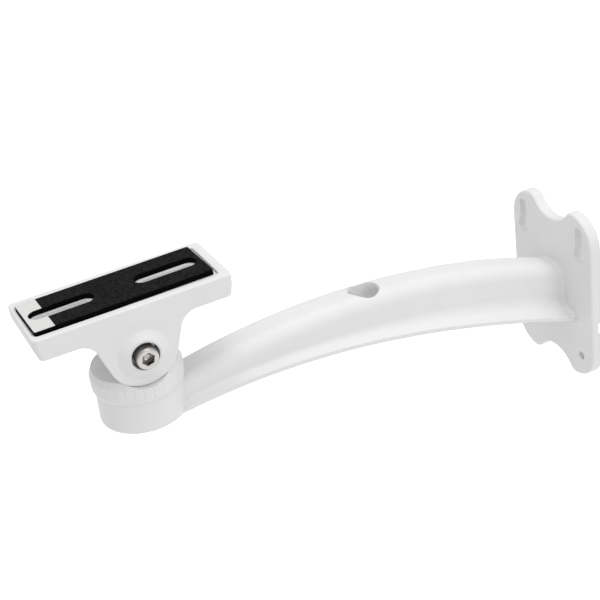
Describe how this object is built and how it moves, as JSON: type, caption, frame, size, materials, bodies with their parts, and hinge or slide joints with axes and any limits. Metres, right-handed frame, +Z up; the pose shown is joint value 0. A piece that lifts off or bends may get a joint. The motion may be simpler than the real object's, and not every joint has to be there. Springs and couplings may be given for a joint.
{
  "type": "camera wall bracket",
  "caption": "Curved hollow cast arm on a wall plate, ending in a swivel base and a tilting slotted tray that carries a camera.",
  "frame": {"origin": "the middle of the four wall-screw positions, on the plate's back face", "axes": "+Z up, +Y into the wall, so the arm runs along -Y; X across the bracket, with the tilt screw's head on +X"},
  "size_m": [0.083, 0.3487, 0.1592],
  "materials": {
    "white_coat": "fine white powder coat on die-cast metal",
    "black_rubber": "matt black anti-slip rubber",
    "pale_film": "thin pale backing film",
    "zinc_steel": "bright zinc-plated steel"
  },
  "bodies": {
    "arm": {"arm_casting": "white_coat"},
    "swivel": {"swivel_base": "white_coat", "pan_screw": "zinc_steel", "pan_flat_washer": "zinc_steel", "pan_spring_washer": "zinc_steel"},
    "head": {"camera_head": "white_coat", "rubber_pad": "black_rubber", "pad_liner": "pale_film", "tilt_screw": "zinc_steel", "tilt_flat_washer": "zinc_steel", "tilt_spring_washer": "zinc_steel", "tilt_nut": "zinc_steel"}
  },
  "joints": [
    {"name": "pan", "type": "hinge", "parent": "arm", "child": "swivel", "pos_m": [0, -0.29215, 0.03605], "axis": [0, 0, 1], "continuous": true},
    {"name": "tilt", "type": "hinge", "parent": "swivel", "child": "head", "pos_m": [0, -0.29215, 0.06655], "axis": [1, 0, 0], "range_deg": [-35, 35]}
  ]
}
